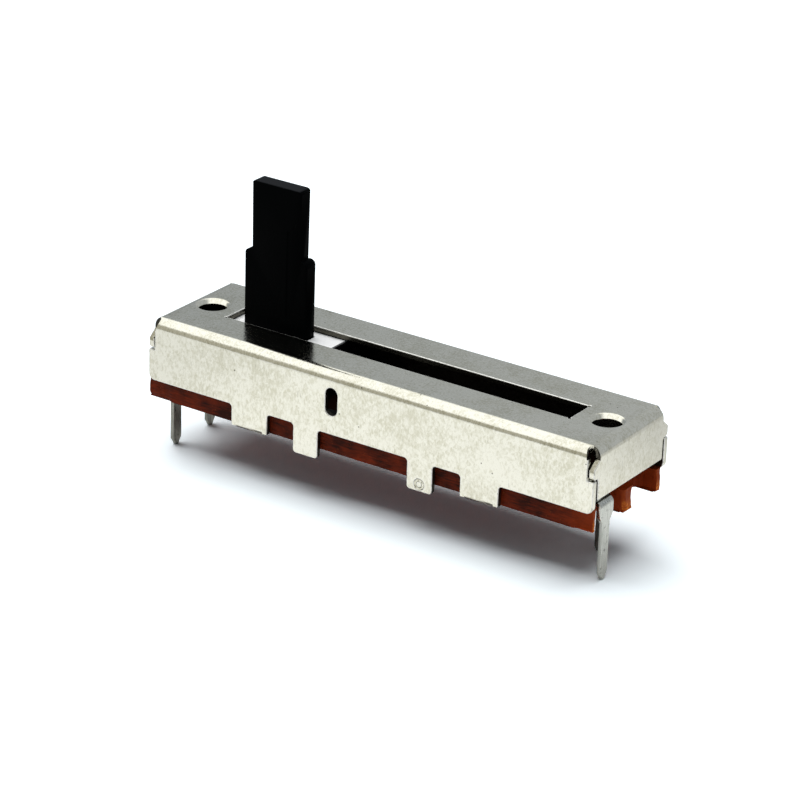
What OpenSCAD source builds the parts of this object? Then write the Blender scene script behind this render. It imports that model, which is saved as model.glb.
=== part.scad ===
// Slide potentiometer, single gang, with a folded sheet-metal cover.
// Millimetres. The origin is midway between the two panel mounting holes, on the
// outer face of the cover. +X runs along the slot and +Z points out of that face.
// The lever rests at the -X end of its travel.

/* [Travel] */
// Stroke of the lever from end to end
travel = 20; // [12:1:30]
// Free slot left at each end beyond the lever
slot_end_gap = 0.925; // [0.6:0.025:1.6]
// Width of the slot
slot_w = 2.4; // [1.6:0.1:3]
// Reach of the small overcut in each slot corner
slot_overcut = 0.1; // [0.05:0.01:0.2]

/* [Mounting] */
// Diameter of each panel mounting hole
hole_d = 2.0; // [1.7:0.1:2.6]
// Distance from a hole's centre to the slot's end
hole_to_slot = 2.05; // [1.7:0.05:3]
// Distance from a hole's centre to the cover's end
hole_to_end = 1.9; // [1.8:0.05:3]
// Radius of the drawn-in edge round each hole
hole_edge_r = 0.24; // [0.1:0.02:0.3]

/* [Cover] */
// Outside width of the cover
cover_w = 9.1; // [8.6:0.1:12]
// Height from the outer face to the long walls' lower edge
cover_h = 4.4; // [4.2:0.1:6]
// Thickness of the sheet
sheet_t = 0.4; // [0.3:0.05:0.5]
// Outside radius of the four long bends
bend_r = 0.76; // [0.55:0.01:0.8]
// Radius of the round relief at each corner of the flat
relief_r = 0.42; // [0.35:0.01:0.6]
// Inset of each relief's centre from the two outer faces
relief_inset = 0.3; // [0.2:0.05:0.4]
// Inset of the end walls' necks from the long walls' outer faces
neck_inset = 0.7; // [0.6:0.05:1]
// Depth at which the end walls' ears start to spread
ear_top = 0.9; // [0.85:0.05:0.95]
// Height of the slope that leads out to an ear
ear_slope = 0.5; // [0.3:0.05:0.65]
// Depth of the lower edge of the ears
ear_bottom = 2.1; // [1.8:0.05:2.2]
// Gap between an ear and the long wall it hooks over
ear_gap = 0.1; // [0.05:0.01:0.15]
// Gap between the end walls and the long walls
corner_gap = 0.2; // [0.1:0.05:0.3]
// Gap between the end walls' lower edge and the board
end_wall_clear = 0.65; // [0.5:0.05:0.8]
// Radius of the long walls' lower corners
wall_corner_r = 0.45; // [0.2:0.05:0.5]
// Radius of the end walls' lower corners
end_corner_r = 0.1; // [0.05:0.05:0.3]

/* [Lugs and clinch tabs] */
// Distance from the middle to the centre of each lug
lug_x = 4.5; // [4:0.05:5]
// Width of each lug
lug_w = 1.95; // [1.5:0.05:2.4]
// Reach of the lugs below the board
lug_proud = 0.6; // [0.4:0.1:2]
// Distance from the middle to the centre of each clinch tab
clinch_x = 9.05; // [8.6:0.05:10.5]
// Width of each clinch tab
clinch_w = 2.9; // [2:0.1:3.4]
// Reach of a clinch tab under the board
clinch_reach = 1.3; // [0.8:0.1:1.8]
// Thickness that a clinch tab is pressed down to under the board
clinch_t = 0.2; // [0.15:0.01:0.25]
// Straight edge left at each side of a clinch fold
clinch_shoulder = 0.35; // [0.2:0.05:0.5]
// Radius in the corners beside lugs and tabs
notch_r = 0.25; // [0.15:0.05:0.4]
// Radius of the ring pressed into the front lug
ring_r = 0.3; // [0.2:0.02:0.4]
// Depth of that ring
ring_depth = 0.08; // [0.04:0.01:0.1]

/* [Gauge window] */
// Place of the window along the front wall
window_x = -2.5; // [-4:0.05:2]
// Depth of the window's centre below the outer face
window_depth = 2.1; // [1.9:0.05:2.4]
// Width of the window
window_w = 0.95; // [0.6:0.05:1.2]
// Height of the window
window_h = 1.95; // [1.3:0.05:2.2]

/* [Board] */
// Thickness of the phenolic board
board_t = 1.6; // [1.2:0.1:1.8]
// Half of what the board is longer than the cover
board_overhang = 0.1; // [0:0.05:0.3]
// Offset of the board along the cover
board_shift = -0.2; // [-0.3:0.05:0.3]
// Overlap of the long walls on the board's edge
wall_lap = 0.15; // [0.1:0.05:0.3]
// Depth of the notches in the board's ends
notch_depth = 1.6; // [1.4:0.05:1.7]
// Width of the lobe between the two notches of an end
lobe_w = 1.4; // [1:0.1:1.4]
// Place of that lobe across the right end
right_lobe_y = 0.25; // [0.2:0.05:0.4]
// Place of that lobe across the left end
left_lobe_y = -0.5; // [-0.6:0.05:-0.45]
// Width of the lobes at the front corners
front_lobe_w = 0.5; // [0.45:0.05:0.5]
// Width of the lobes at the back corners
back_lobe_w = 0.6; // [0.5:0.05:0.8]
// Width of the printed tracks
track_w = 1.6; // [1.4:0.1:1.8]
// Thickness of the printed layers
print_t = 0.05; // [0.03:0.01:0.08]
// Inset of the resistive track's centre from the board's front edge
resistive_inset = 1.83; // [1.6:0.01:2]
// Place of the collector track across the board
collector_y = 1.5; // [1.3:0.1:1.7]
// Track beyond the wiper's stroke at each end
track_margin = 1.5; // [1:0.1:1.8]

/* [Terminals] */
// Reach of the terminals below the board
pin_reach = 3.65; // [2.8:0.05:6]
// Thickness of the terminal strip
pin_t = 0.3; // [0.25:0.05:0.35]
// Width of a terminal's leg
pin_w = 0.84; // [0.7:0.02:1]
// Width of a terminal's shoulder
shoulder_w = 1.55; // [1.1:0.05:1.55]
// Length of the shoulder down from the board's upper face
shoulder_len = 0.75; // [0.6:0.05:1.5]
// Length over which the shoulder narrows to the leg
taper_len = 0.5; // [0.3:0.05:0.6]
// Radius at a terminal's tip
tip_r = 0.2; // [0.15:0.01:0.3]
// Length over which the tip narrows
tip_len = 0.5; // [0.4:0.05:0.8]
// Inside radius of the bend in a terminal
pin_bend_r = 0.15; // [0.1:0.05:0.2]
// Play of the inner collector terminal in the board's slot
pin_fit = 0.05; // [0.03:0.01:0.08]
// Shank diameter of the eyelets
eyelet_d = 0.9; // [0.8:0.05:1]
// Bore of the eyelets
eyelet_bore = 0.55; // [0.4:0.05:0.6]
// Diameter of the eyelets' flanges
flange_d = 1.6; // [1.4:0.05:1.8]
// Thickness of the eyelets' flanges
flange_t = 0.2; // [0.15:0.01:0.25]

/* [Lever] */
// Width of the lever where it passes the slot
root_w = 5.05; // [4.4:0.05:6.1]
// Width of the blade that takes the knob
blade_w = 3.97; // [3.2:0.01:4.2]
// Thickness of the lever
lever_t = 1.1; // [0.8:0.05:1.2]
// Height of the shoulders above the outer face
shoulder_h = 5.03; // [3:0.01:7]
// Height of the lever's tip above the outer face
lever_h = 9.9; // [8:0.05:15]
// Radius of the lever's long edges
lever_edge_r = 0.14; // [0.08:0.01:0.2]
// Radius of the lever's shoulders
lever_corner_r = 0.45; // [0.15:0.05:0.5]
// Radius of the corners at the lever's tip
lever_tip_r = 0.28; // [0.1:0.02:0.5]
// Depth of the shallow groove down the lever's front
groove_depth = 0.06; // [0.03:0.01:0.1]
// Ledge of the foot beyond the root at each side
foot_ledge = 0.7; // [0.5:0.05:0.9]
// Height of the foot locked in the carriage
foot_h = 0.6; // [0.4:0.05:0.8]

/* [Carriage] */
// Rim of the carriage beyond the stakes that hold the wiper
carriage_rim = 0.625; // [0.6:0.025:1]
// Height of the carriage
carriage_h = 2.24; // [2:0.01:2.3]
// Running clearance above the carriage
top_clear = 0.06; // [0.04:0.01:0.1]
// Running clearance at each side of the carriage
side_clear = 0.06; // [0.04:0.01:0.1]
// Play of the lever and the wiper's stakes in their seats
seat_fit = 0.03; // [0.02:0.01:0.06]
// Thickness of the wiper sheet
wiper_t = 0.12; // [0.1:0.01:0.16]
// Number of fingers on each track
fingers = 3; // [2:1:3]
// Width of one finger
finger_w = 0.3; // [0.24:0.02:0.34]
// Gap left between a wiper finger and its track
wiper_clear = 0.03; // [0.02:0.01:0.05]
// Thickness of the drag spring
drag_t = 0.1; // [0.08:0.01:0.12]

/* [Hidden] */
$fn = 48;
eps = 0.01;
past = 1;

// Plan sizes that follow from the stroke
slot_len = travel + root_w + 2 * slot_end_gap;
hole_x = slot_len / 2 + hole_to_slot;
end_x = hole_x + hole_to_end;
side_y = cover_w / 2;
inner_y = side_y - sheet_t;
inner_end_x = end_x - sheet_t;
rest_x = -travel / 2;

// Depths below the outer face
board_top = cover_h - wall_lap;
board_bottom = board_top + board_t;
print_top = board_top - print_t;
pin_top = print_top - pin_t;
lug_depth = board_bottom + lug_proud;
clinch_rise = sheet_t - clinch_t;
pin_depth = board_bottom + pin_reach;
end_wall_h = board_top - end_wall_clear;
wall_step = ear_bottom + ear_gap;
bend_end_x = inner_end_x - ear_gap;
carriage_top = sheet_t + top_clear;
carriage_bottom = carriage_top + carriage_h;

// Board
board_side_gap = 0.02;
board_half_w = inner_y - board_side_gap;
board_half_len = end_x + board_overhang;
board_corner_r = 0.1;
notch_corner_r = 0.22;
corner_lip_r = 0.2;
lobe_r = 0.4;

// Tracks and pads
resistive_y = resistive_inset - board_half_w;
track_half = travel / 2 + track_margin;
pad_r = 1.0;

// Terminals 1 to 4: inset of the leg from the cover's end, its row, its lead from the eyelet
resistive_row = 1.3 - board_half_w;
row_stagger = 0.08;
leg_insets = [1.0, 0.9, 2.3, 0.1];
leg_rows = [resistive_row, 1.1, 0.6, resistive_row + row_stagger];
leads = [2.2, 2.2, 2.2, 3.1];
leg_sides = [-1, -1, 1, 1];
TERMINALS = [for (i = [0 : 3]) [leg_sides[i] * (end_x - leg_insets[i]), leg_rows[i], leads[i]]];
inner_leg = TERMINALS[2];
eyelet_fit = 0.02;
flange_chamfer = 0.07;

// Lever details
groove_w = 0.28;
groove_x = 0.9;
groove_bottom = 0.9;
groove_top = 6.9;

// Carriage details
carriage_corner_r = 0.35;
carriage_chamfer = bend_r - sheet_t;
runner_h = 0.15;
runner_len = 1.8;
runner_inset = 0.3;
runner_corner_r = 0.14;
stake_r = 0.35;
stake_to_foot = 0.65;
stake_x = root_w / 2 + foot_ledge + stake_to_foot;
carriage_len = 2 * (stake_x + carriage_rim);
stake_head_r = 0.58;
stake_head_h = 0.18;
stake_head_taper = 0.12;
drag_len = 6.4;
drag_w = 1.1;
drag_y = -2.8;
drag_touch = 0.02;
drag_steps = 8;
well_depth = 0.5;
well_margin = 0.15;
core_well = [2.6, 1.4];
core_well_x = 2.2;
core_well_y = 2.5;
core_well_r = 0.2;

// Wiper details
plate_rim = 0.35;
plate_len = 2 * (stake_x + plate_rim);
plate_corner_r = 0.3;
finger_root = -2.5;
finger_gap = 0.14;
finger_pitch = finger_w + finger_gap;
finger_anchor = 0.3;
finger_flat = 0.1;
curl_r = 0.25;
curl_from = -110;
curl_to = -30;
curl_step = 20;
window_margin = 0.15;
window_ahead = 0.5;

// Colours
tin_plate = [0.88, 0.88, 0.84];
phenolic = [0.50, 0.20, 0.10];
carbon = [0.10, 0.10, 0.11];
silver_print = [0.72, 0.72, 0.70];
tinned = [0.80, 0.80, 0.78];
brass = [0.80, 0.68, 0.40];
black_resin = [0.05, 0.05, 0.06];
white_resin = [0.93, 0.92, 0.88];
spring_bronze = [0.72, 0.52, 0.32];
spring_steel = [0.70, 0.71, 0.73];

// ---- Shared shapes ----

// Rectangle centred on the origin with round corners
module rounded_rect(size, r) {
    square([size[0] - 2 * r, size[1]], center = true);
    square([size[0], size[1] - 2 * r], center = true);
    for (sx = [-1, 1], sy = [-1, 1])
        translate([sx * (size[0] / 2 - r), sy * (size[1] / 2 - r)])
            circle(r);
}

// What rounding takes off a convex corner at the origin, whose body lies at -x -y
module corner_cut(r) {
    difference() {
        translate([-r, -r])
            square(r + past);
        translate([-r, -r])
            circle(r);
        translate([-r - past, -r - past])
            square([past, past + r + past]);
    }
}

// What fills a concave corner at the origin, whose open side lies at +x -y
module corner_fill(r) {
    difference() {
        translate([-eps, -r])
            square(r + eps);
        translate([r, -r])
            circle(r);
    }
}

// Quarter of a tube round the X axis, from +Y to +Z
module quarter_bend(r_in, r_out, length) {
    translate([-length / 2, 0, 0])
        rotate([90, 0, 90])
            rotate_extrude(angle = 90)
                translate([r_in, 0])
                    square([r_out - r_in, length]);
}

// Stands a drawing of X and Z upright, its thickness running towards -Y
module stand_xz(t) {
    rotate([90, 0, 0])
        linear_extrude(t)
            children();
}

// Stands a drawing of Y and Z upright, its thickness running towards +X
module stand_yz(t) {
    rotate([90, 0, 90])
        linear_extrude(t)
            children();
}

// Strip of thickness t along a path
function heading(p, i) =
    let (a = p[max(i - 1, 0)], b = p[min(i + 1, len(p) - 1)]) (b - a) / norm(b - a);
function beside(p, d) = [for (i = [0 : len(p) - 1]) p[i] + d * [-heading(p, i)[1], heading(p, i)[0]]];
function reversed(p) = [for (i = [len(p) - 1 : -1 : 0]) p[i]];
module ribbon(p, t) {
    polygon(concat(beside(p, t / 2), reversed(beside(p, -t / 2))));
}

// ---- Cover ----

// Wall with its lugs and the straight part of its clinch tabs, drawn in X and Z
module long_wall_outline() {
    difference() {
        union() {
            translate([-bend_end_x, -wall_step - eps])
                square([2 * bend_end_x, wall_step - bend_r + eps]);
            translate([-end_x, -cover_h])
                square([2 * end_x, cover_h - wall_step]);
        }
        for (s = [0, 1])
            mirror([s, 0])
                translate([end_x, -cover_h])
                    mirror([0, 1])
                        corner_cut(wall_corner_r);
    }
    for (x = [-lug_x, lug_x])
        translate([x, 0])
            tab_outline(lug_w, lug_depth, notch_r);
    for (x = [-clinch_x, clinch_x])
        translate([x, 0]) {
            tab_outline(clinch_w, board_bottom - clinch_rise, 0);
            for (s = [0, 1])
                mirror([s, 0])
                    translate([clinch_w / 2 - clinch_shoulder, -board_bottom])
                        square([clinch_shoulder, board_bottom - cover_h]);
        }
}

// Tab of a wall, hanging to a depth, with round corners at its tip
module tab_outline(w, depth, tip_corner_r) {
    difference() {
        translate([-w / 2, -depth])
            square([w, depth - cover_h + eps]);
        if (tip_corner_r > 0)
            for (s = [0, 1])
                mirror([s, 0])
                    translate([w / 2, -depth])
                        mirror([0, 1])
                            corner_cut(tip_corner_r);
    }
    for (s = [0, 1])
        mirror([s, 0])
            translate([w / 2, -cover_h])
                corner_fill(notch_r);
}

// Part of a clinch tab that is folded under the board, on the +Y side
module clinch_fold() {
    fold_w = clinch_w - 2 * clinch_shoulder;
    translate([0, inner_y, clinch_rise - board_bottom])
        mirror([0, 0, 1])
            quarter_bend(0, sheet_t, fold_w);
    translate([0, inner_y - clinch_reach / 2, -board_bottom - clinch_t])
        linear_extrude(clinch_t)
            difference() {
                square([fold_w, clinch_reach + 2 * eps], center = true);
                for (s = [0, 1])
                    mirror([s, 0])
                        translate([fold_w / 2, -clinch_reach / 2 - eps])
                            mirror([0, 1])
                                corner_cut(notch_r);
            }
}

// Bend, wall, lugs and clinch tabs of the +Y side
module long_side() {
    translate([0, side_y - bend_r, -bend_r])
        quarter_bend(bend_r - sheet_t, bend_r, 2 * bend_end_x);
    translate([0, side_y, 0])
        stand_xz(sheet_t)
            long_wall_outline();
    for (x = [-clinch_x, clinch_x])
        translate([x, 0, 0])
            clinch_fold();
}

// End wall with its two ears, drawn in Y and Z
module end_wall_outline() {
    neck = side_y - neck_inset;
    ear = side_y - ear_gap / 2;
    low = inner_y - corner_gap;
    round_off = 0.15;
    half = [[neck, -bend_r],
            [neck, -ear_top],
            [ear, -ear_top - ear_slope],
            [ear, -ear_bottom + round_off],
            [ear - round_off, -ear_bottom],
            [low + ear_gap, -ear_bottom],
            [low, -wall_step - round_off],
            [low, -end_wall_h + end_corner_r],
            [low - end_corner_r, -end_wall_h]];
    polygon(concat(half, [for (p = reversed(half)) [-p[0], p[1]]]));
}

// Bend and wall of the +X end
module short_side() {
    translate([end_x - bend_r, 0, -bend_r])
        rotate([0, 0, -90])
            quarter_bend(bend_r - sheet_t, bend_r, 2 * (side_y - neck_inset));
    translate([inner_end_x, 0, 0])
        stand_yz(sheet_t)
            end_wall_outline();
}

// Slot for the lever, with its small corner overcuts
module slot_cut() {
    translate([0, 0, -sheet_t - past])
        linear_extrude(sheet_t + 2 * past) {
            square([slot_len, slot_w], center = true);
            for (sx = [-1, 1], sy = [-1, 1])
                translate([sx * slot_len / 2, sy * slot_w / 2])
                    circle(slot_overcut);
        }
}

// Panel mounting hole whose edge the punch has drawn in
module mounting_hole() {
    bore_r = hole_d / 2;
    rotate_extrude() {
        translate([0, -sheet_t - past])
            square([bore_r, sheet_t + 2 * past]);
        difference() {
            translate([0, -hole_edge_r])
                square([bore_r + hole_edge_r, hole_edge_r + past]);
            translate([bore_r + hole_edge_r, -hole_edge_r])
                circle(hole_edge_r);
        }
    }
}

// Ring pressed into the outer face of the front lug
module pressed_ring() {
    translate([lug_x, -side_y, -lug_depth + lug_w / 4])
        rotate([90, 0, 0])
            rotate_extrude()
                translate([ring_r, 0])
                    circle(ring_depth);
}

// Upright window with round ends in the front wall
module window_cut() {
    translate([window_x, past - inner_y, -window_depth])
        stand_xz(sheet_t + 2 * past) {
            straight = window_h - window_w;
            square([window_w, straight], center = true);
            for (s = [-1, 1])
                translate([0, s * straight / 2])
                    circle(d = window_w);
        }
}

module cover() {
    color(tin_plate)
        difference() {
            union() {
                translate([0, 0, -sheet_t / 2])
                    cube([2 * (end_x - bend_r), 2 * (side_y - bend_r), sheet_t], center = true);
                for (s = [0, 1]) {
                    mirror([0, s, 0])
                        long_side();
                    mirror([s, 0, 0])
                        short_side();
                }
            }
            for (sx = [-1, 1], sy = [-1, 1])
                translate([sx * (end_x - relief_inset), sy * (side_y - relief_inset), -bend_r - eps])
                    cylinder(r = relief_r, h = bend_r + past);
            slot_cut();
            for (s = [-1, 1])
                translate([s * hole_x, 0, 0])
                    mounting_hole();
            window_cut();
            pressed_ring();
        }
}

// ---- Board and its printed layers ----

// Notch from y0 to y1 in the end at +X, its lips rounded to r0 and r1
module end_notch(y0, y1, r0, r1) {
    translate([board_half_len - notch_depth + past, (y0 + y1) / 2])
        rounded_rect([2 * past, y1 - y0], notch_corner_r);
    translate([board_half_len - notch_depth + past, y0])
        square([notch_depth, y1 - y0]);
    translate([board_half_len, y0])
        corner_cut(r0);
    translate([board_half_len, y1])
        mirror([0, 1])
            corner_cut(r1);
}

module board_outline() {
    front = front_lobe_w - board_half_w;
    back = board_half_w - back_lobe_w;
    difference() {
        square([2 * board_half_len, 2 * board_half_w], center = true);
        for (end = [[0, right_lobe_y], [1, left_lobe_y]])
            mirror([end[0], 0]) {
                end_notch(front, end[1] - lobe_w / 2, corner_lip_r, lobe_r);
                end_notch(end[1] + lobe_w / 2, back, lobe_r, corner_lip_r);
            }
        for (sx = [0, 1], sy = [0, 1])
            mirror([sx, 0])
                mirror([0, sy])
                    translate([board_half_len, board_half_w])
                        corner_cut(board_corner_r);
    }
}

// Slot for the inner terminal and its bend, drawn in X and Y
module inner_slot() {
    translate([inner_leg[0] - pin_bend_r / 2, inner_leg[1]])
        square([pin_t + pin_bend_r + 2 * pin_fit, shoulder_w + 2 * pin_fit], center = true);
}

module element_board() {
    color(phenolic)
        difference() {
            translate([board_shift, 0, -board_bottom])
                linear_extrude(board_t)
                    board_outline();
            for (t = TERMINALS)
                translate([eyelet_x(t), t[1], -board_bottom - past])
                    cylinder(d = eyelet_d + 2 * eyelet_fit, h = board_t + 2 * past);
            translate([0, 0, -board_bottom - past])
                linear_extrude(board_t + 2 * past)
                    inner_slot();
        }
}

// Prints a drawing on the board's upper face
module print_layer() {
    translate([0, 0, -board_top])
        linear_extrude(print_t)
            children();
}

module track(y) {
    color(carbon)
        print_layer()
            translate([0, y])
                square([2 * track_half, track_w], center = true);
}

// Silver pad that joins a track's end to the eyelet of terminal t
module pad(t, y) {
    s = sign(t[0]);
    color(silver_print)
        print_layer()
            difference() {
                union() {
                    translate([s * (track_half + abs(eyelet_x(t))) / 2, y])
                        square([abs(eyelet_x(t)) - track_half, track_w], center = true);
                    translate([eyelet_x(t), t[1]])
                        circle(pad_r);
                }
                translate([eyelet_x(t), t[1]])
                    circle(d = eyelet_d + 2 * eyelet_fit);
                inner_slot();
            }
}

// ---- Terminals and eyelets ----

function eyelet_x(t) = t[0] - sign(t[0]) * t[2];

// Leg of a terminal drawn in Y and Z, from the bend down to the tip
module leg_outline(top) {
    shoulder_depth = board_top + shoulder_len;
    half = [[shoulder_w / 2, -top],
            [shoulder_w / 2, -shoulder_depth],
            [pin_w / 2, -shoulder_depth - taper_len],
            [pin_w / 2, -pin_depth + tip_len],
            [tip_r, -pin_depth + tip_r]];
    polygon(concat(half, [for (p = reversed(half)) [-p[0], p[1]]]));
    translate([0, -pin_depth + tip_r])
        circle(tip_r);
}

// Ring, lead, bend and leg of terminal t, which is led out towards its own end
module terminal(t) {
    leg_x = abs(t[0]);
    ring_x = abs(eyelet_x(t));
    bend_x = leg_x - pin_t / 2 - pin_bend_r;
    bend_depth = print_top + pin_bend_r;
    color(tinned)
        translate([0, t[1], 0])
            mirror([t[0] < 0 ? 1 : 0, 0, 0]) {
                translate([0, 0, -print_top])
                    linear_extrude(pin_t)
                        difference() {
                            union() {
                                translate([ring_x, 0])
                                    circle(pad_r);
                                translate([ring_x, -shoulder_w / 2])
                                    square([bend_x - ring_x, shoulder_w]);
                            }
                            translate([ring_x, 0])
                                circle(d = eyelet_d + 2 * eyelet_fit);
                        }
                translate([bend_x, 0, -bend_depth])
                    rotate([0, 0, -90])
                        quarter_bend(pin_bend_r, pin_bend_r + pin_t, shoulder_w);
                translate([leg_x - pin_t / 2, 0, 0])
                    stand_yz(pin_t)
                        leg_outline(bend_depth);
            }
}

// Tubular eyelet that clamps terminal t to the board
module eyelet(t) {
    top = -pin_top;
    bottom = -board_bottom;
    shank = eyelet_d / 2;
    flange = flange_d / 2;
    color(brass)
        translate([eyelet_x(t), t[1], 0])
            rotate_extrude()
                polygon([[eyelet_bore / 2, bottom - flange_t],
                         [flange - flange_chamfer, bottom - flange_t],
                         [flange, bottom - flange_t + flange_chamfer],
                         [flange, bottom],
                         [shank, bottom],
                         [shank, top],
                         [flange, top],
                         [flange, top + flange_t - flange_chamfer],
                         [flange - flange_chamfer, top + flange_t],
                         [eyelet_bore / 2, top + flange_t]]);
}

// ---- Sliding parts, drawn about X = 0 and set at the rest end by at_rest() ----

module at_rest() {
    translate([rest_x, 0, 0])
        children();
}

// Lever seen from the front, drawn in X and Z
module lever_outline() {
    difference() {
        union() {
            translate([-blade_w / 2, 0])
                square([blade_w, lever_h]);
            translate([-root_w / 2, -carriage_bottom])
                square([root_w, carriage_bottom + shoulder_h]);
            translate([-root_w / 2 - foot_ledge, -carriage_bottom])
                square([root_w + 2 * foot_ledge, foot_h]);
        }
        for (s = [0, 1])
            mirror([s, 0]) {
                translate([root_w / 2, shoulder_h])
                    corner_cut(lever_corner_r);
                translate([blade_w / 2, lever_h])
                    corner_cut(lever_tip_r);
            }
    }
}

module lever() {
    color(black_resin)
        at_rest()
            difference() {
                intersection() {
                    translate([0, lever_t / 2, 0])
                        stand_xz(lever_t)
                            lever_outline();
                    union() {
                        translate([0, 0, -carriage_bottom])
                            linear_extrude(foot_h)
                                square([root_w + 2 * foot_ledge, lever_t], center = true);
                        translate([0, 0, foot_h - carriage_bottom - eps])
                            linear_extrude(carriage_bottom - foot_h + shoulder_h + eps)
                                rounded_rect([root_w, lever_t], lever_edge_r);
                        linear_extrude(lever_h)
                            rounded_rect([blade_w, lever_t], lever_edge_r);
                    }
                }
                translate([groove_x, groove_depth - lever_t / 2, groove_bottom])
                    stand_xz(past)
                        square([groove_w, groove_top - groove_bottom]);
            }
}

// Seat in the carriage for the lever's root and foot
module lever_seat() {
    translate([0, 0, -carriage_bottom - past])
        linear_extrude(carriage_h + 2 * past)
            square([root_w + 2 * seat_fit, lever_t + 2 * seat_fit], center = true);
    translate([0, 0, -carriage_bottom - past])
        linear_extrude(foot_h + seat_fit + past)
            square([root_w + 2 * foot_ledge + 2 * seat_fit, lever_t + 2 * seat_fit], center = true);
}

// Section of the carriage, its top corners cut to clear the inside of the cover's bends
module carriage_section() {
    half_w = inner_y - side_clear;
    half = [[half_w, -carriage_bottom],
            [half_w, -carriage_top - carriage_chamfer],
            [half_w - carriage_chamfer, -carriage_top]];
    polygon(concat(half, [for (p = reversed(half)) [-p[0], p[1]]]));
}

module carriage() {
    block_w = 2 * (inner_y - side_clear - runner_h);
    runner_x = carriage_len / 2 - runner_len / 2 - runner_inset;
    color(white_resin)
        at_rest() {
            difference() {
                intersection() {
                    translate([0, 0, -carriage_bottom])
                        linear_extrude(carriage_h) {
                            rounded_rect([carriage_len, block_w], carriage_corner_r);
                            for (sx = [-1, 1])
                                translate([sx * runner_x, 0])
                                    rounded_rect([runner_len, block_w + 2 * runner_h], runner_corner_r);
                        }
                    translate([-carriage_len / 2 - past, 0, 0])
                        stand_yz(carriage_len + 2 * past)
                            carriage_section();
                }
                lever_seat();
                translate([0, 0, -carriage_top - well_depth])
                    linear_extrude(well_depth + past) {
                        translate([0, drag_y])
                            square([drag_len + 2 * well_margin, drag_w + 2 * well_margin], center = true);
                        for (sx = [-1, 1])
                            translate([sx * core_well_x, core_well_y])
                                rounded_rect(core_well, core_well_r);
                    }
            }
            for (sx = [-1, 1])
                translate([sx * stake_x, 0, 0])
                    stake();
        }
}

// Post of the carriage, headed over under the wiper sheet
module stake() {
    sheet_under = -carriage_bottom - wiper_t;
    translate([0, 0, sheet_under - eps])
        cylinder(r = stake_r, h = wiper_t + 2 * eps);
    translate([0, 0, sheet_under - stake_head_h])
        cylinder(r1 = stake_head_r - stake_head_taper, r2 = stake_head_r, h = stake_head_h);
}

// One wiper finger seen from the side, drawn in X and Z
module finger_outline() {
    sheet_mid = -carriage_bottom - wiper_t / 2;
    touch = -print_top + wiper_clear + wiper_t / 2;
    curl = [for (a = [curl_from : curl_step : curl_to])
            [curl_r * cos(a), touch + curl_r + curl_r * sin(a)]];
    root = [[finger_root - finger_anchor, sheet_mid], [finger_root + finger_flat, sheet_mid]];
    ribbon(concat(root, curl), wiper_t);
}

module wiper() {
    rows = [resistive_y, collector_y];
    window_len = curl_r + window_ahead - finger_root;
    window_wide = fingers * finger_pitch + window_margin;
    y_low = resistive_y - window_wide / 2 - plate_rim;
    y_high = collector_y + window_wide / 2 + plate_rim;
    color(spring_bronze)
        at_rest() {
            translate([0, 0, -carriage_bottom - wiper_t])
                linear_extrude(wiper_t)
                    difference() {
                        translate([0, (y_low + y_high) / 2])
                            rounded_rect([plate_len, y_high - y_low], plate_corner_r);
                        for (y = rows)
                            translate([finger_root, y - window_wide / 2])
                                square([window_len, window_wide]);
                        for (sx = [-1, 1])
                            translate([sx * stake_x, 0])
                                circle(stake_r + seat_fit);
                    }
            for (y = rows, i = [0 : fingers - 1])
                translate([0, y + (i - (fingers - 1) / 2) * finger_pitch + finger_w / 2, 0])
                    stand_xz(finger_w)
                        finger_outline();
        }
}

module drag_spring() {
    floor_z = -carriage_top - well_depth + drag_t / 2;
    rise = well_depth + top_clear - drag_touch - drag_t;
    places = [for (i = [-drag_steps : drag_steps]) i / drag_steps];
    bow = [for (a = places) [a * drag_len / 2, floor_z + rise * (1 - a * a)]];
    color(spring_steel)
        at_rest()
            translate([0, drag_y + drag_w / 2, 0])
                stand_xz(drag_w)
                    ribbon(bow, drag_t);
}

cover();
element_board();
track(resistive_y);  // resistive_track
track(collector_y);  // collector_track
pad(TERMINALS[0], resistive_y);  // resistive_pad_left
pad(TERMINALS[3], resistive_y);  // resistive_pad_right
pad(TERMINALS[1], collector_y);  // collector_pad_left
pad(TERMINALS[2], collector_y);  // collector_pad_right
terminal(TERMINALS[0]);  // terminal_1
terminal(TERMINALS[1]);  // terminal_2
terminal(TERMINALS[2]);  // terminal_3
terminal(TERMINALS[3]);  // terminal_4
eyelet(TERMINALS[0]);  // eyelet_1
eyelet(TERMINALS[1]);  // eyelet_2
eyelet(TERMINALS[2]);  // eyelet_3
eyelet(TERMINALS[3]);  // eyelet_4
lever();
carriage();
wiper();
drag_spring();
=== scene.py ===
"""Looks of a slide potentiometer: folded tin-plate cover, punched phenolic board, tinned
terminals, black lever and white carriage, in a plain white studio."""
import logging
import math
from collections.abc import Callable, Mapping
from dataclasses import dataclass
from enum import Enum

import bmesh
import bpy
import numpy as np
from mathutils import Matrix, Vector


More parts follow.
